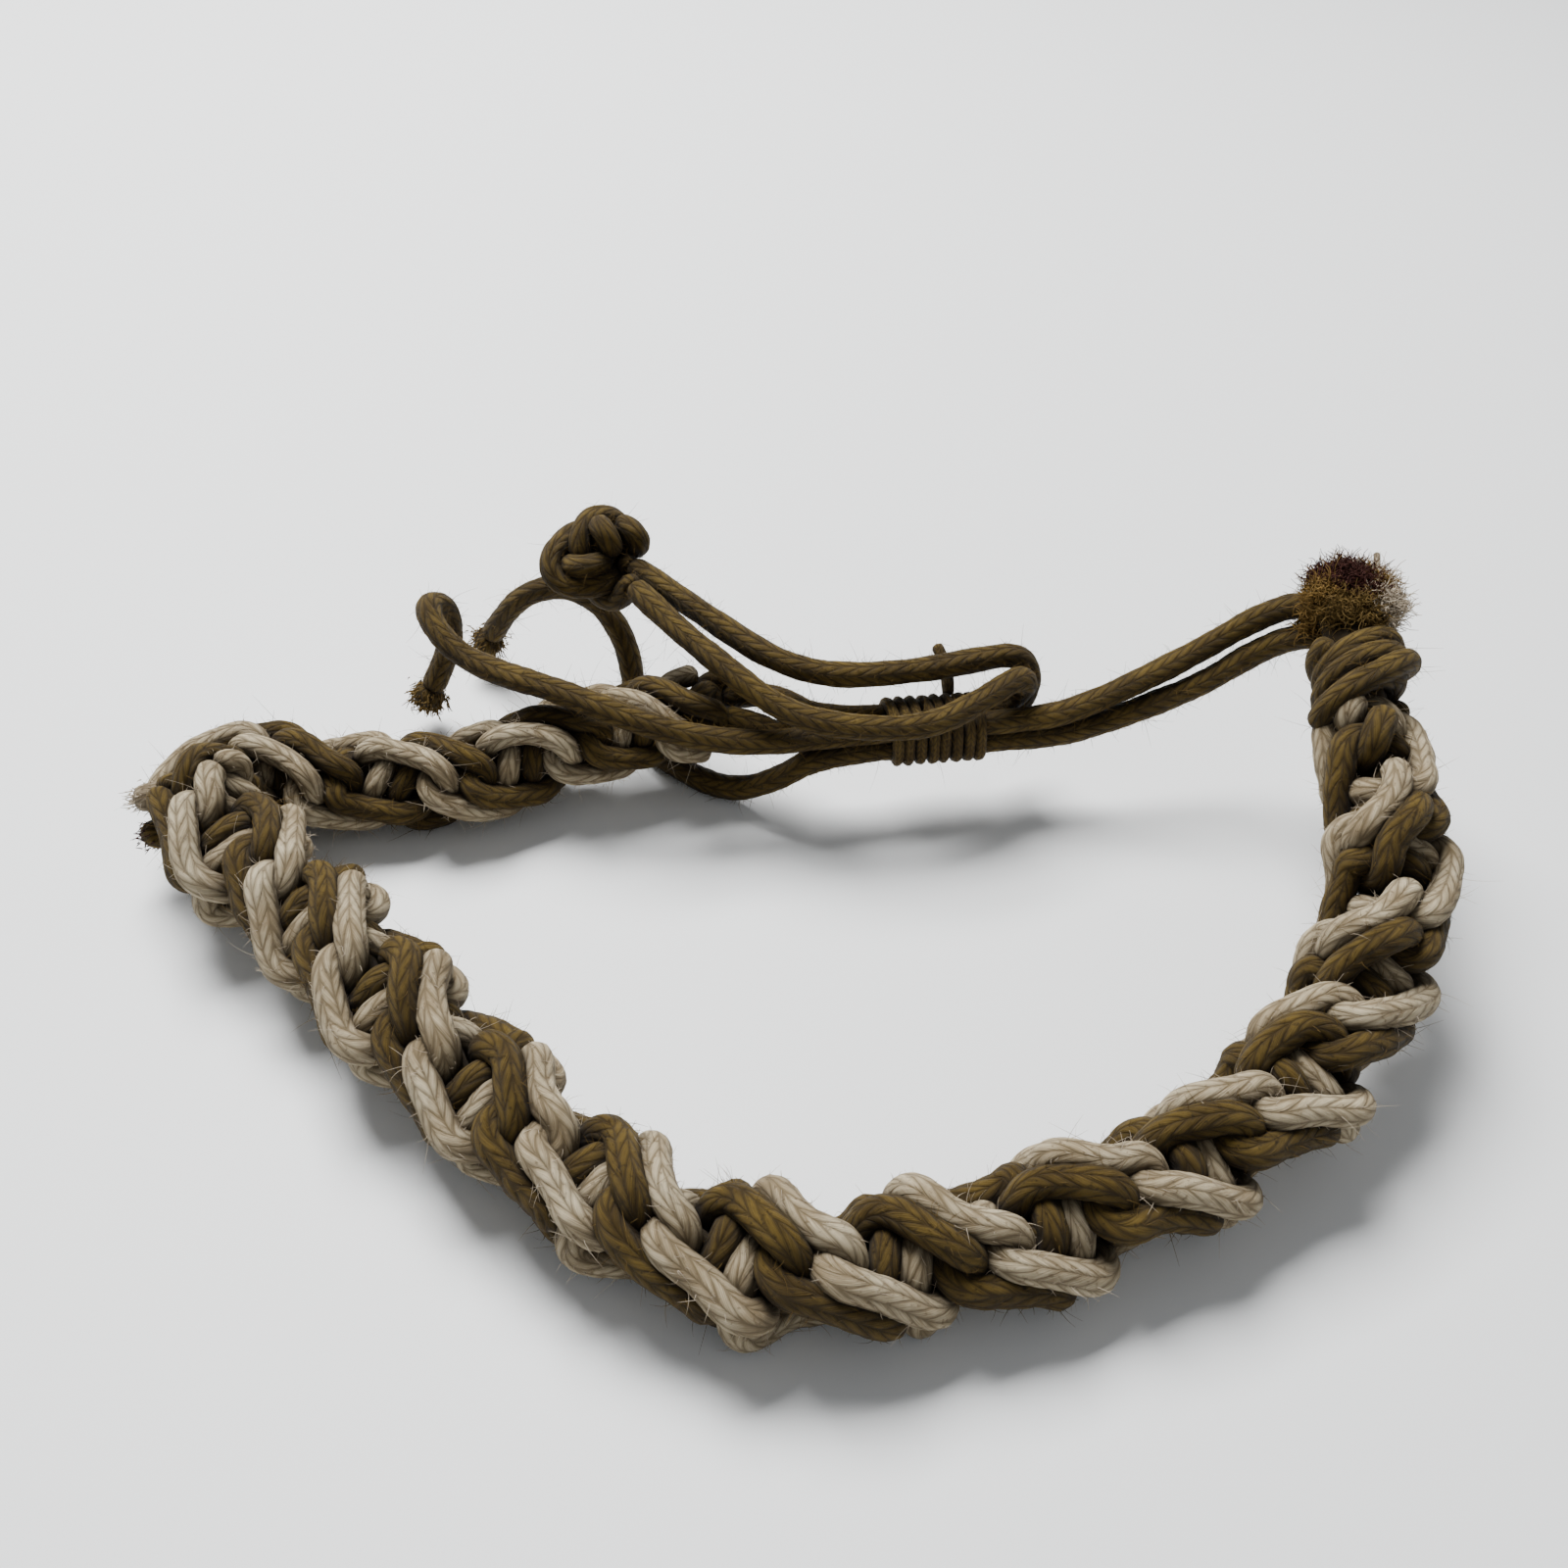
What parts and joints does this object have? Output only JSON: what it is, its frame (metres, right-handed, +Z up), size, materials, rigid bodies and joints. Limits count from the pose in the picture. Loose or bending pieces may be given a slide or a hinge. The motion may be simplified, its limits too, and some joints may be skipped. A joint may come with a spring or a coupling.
{
  "type": "knotted cord band",
  "caption": "Knotted waxed-cotton cord band with a bound end and a thread-wound sliding closure, worn round the wrist, ankle or hair.",
  "frame": {"origin": "on the surface that the band lies on, under the middle of the band without its tie cords", "axes": "+X towards the whipped right end, +Y away from the front of the loop, +Z up"},
  "size_m": [0.0827, 0.0577, 0.0192],
  "materials": {
    "brown_cord": "olive-brown waxed cotton braid, soft sheen",
    "cream_cord": "cream waxed cotton braid, soft sheen",
    "thread": "brown waxed thread, soft sheen",
    "dark_end": "dark brown sealed cord ends, matt",
    "frayed_fibre": "loose brown cotton fibre, matt"
  },
  "bodies": {
    "band": {"core_cord_1": "brown_cord", "core_cord_2": "brown_cord", "front_working_cord_brown_1": "brown_cord", "front_working_cord_cream_1": "cream_cord", "front_working_cord_cream_2": "cream_cord", "front_working_cord_brown_2": "brown_cord", "back_working_cord_brown_1": "brown_cord", "back_working_cord_cream_1": "cream_cord", "back_working_cord_cream_2": "cream_cord", "back_working_cord_brown_2": "brown_cord", "cut_end_cream": "cream_cord", "cut_end_brown": "dark_end", "end_whipping": "brown_cord", "bound_cord_ends": "dark_end", "tie_cord_right_1": "brown_cord", "tie_cord_right_2": "brown_cord", "frayed_tip_1": "frayed_fibre", "frayed_tip_2": "frayed_fibre", "tie_cord_left_1": "brown_cord", "tie_cord_left_2": "brown_cord", "stopper_knot": "brown_cord"},
    "slider": {"slider_whipping": "thread", "slider_thread_end": "thread"}
  },
  "joints": [
    {"name": "slider_travel", "type": "slide", "parent": "band", "child": "slider", "axis": [0.9816, 0.1908, 0], "range_m": [-0.0025, 0]}
  ]
}
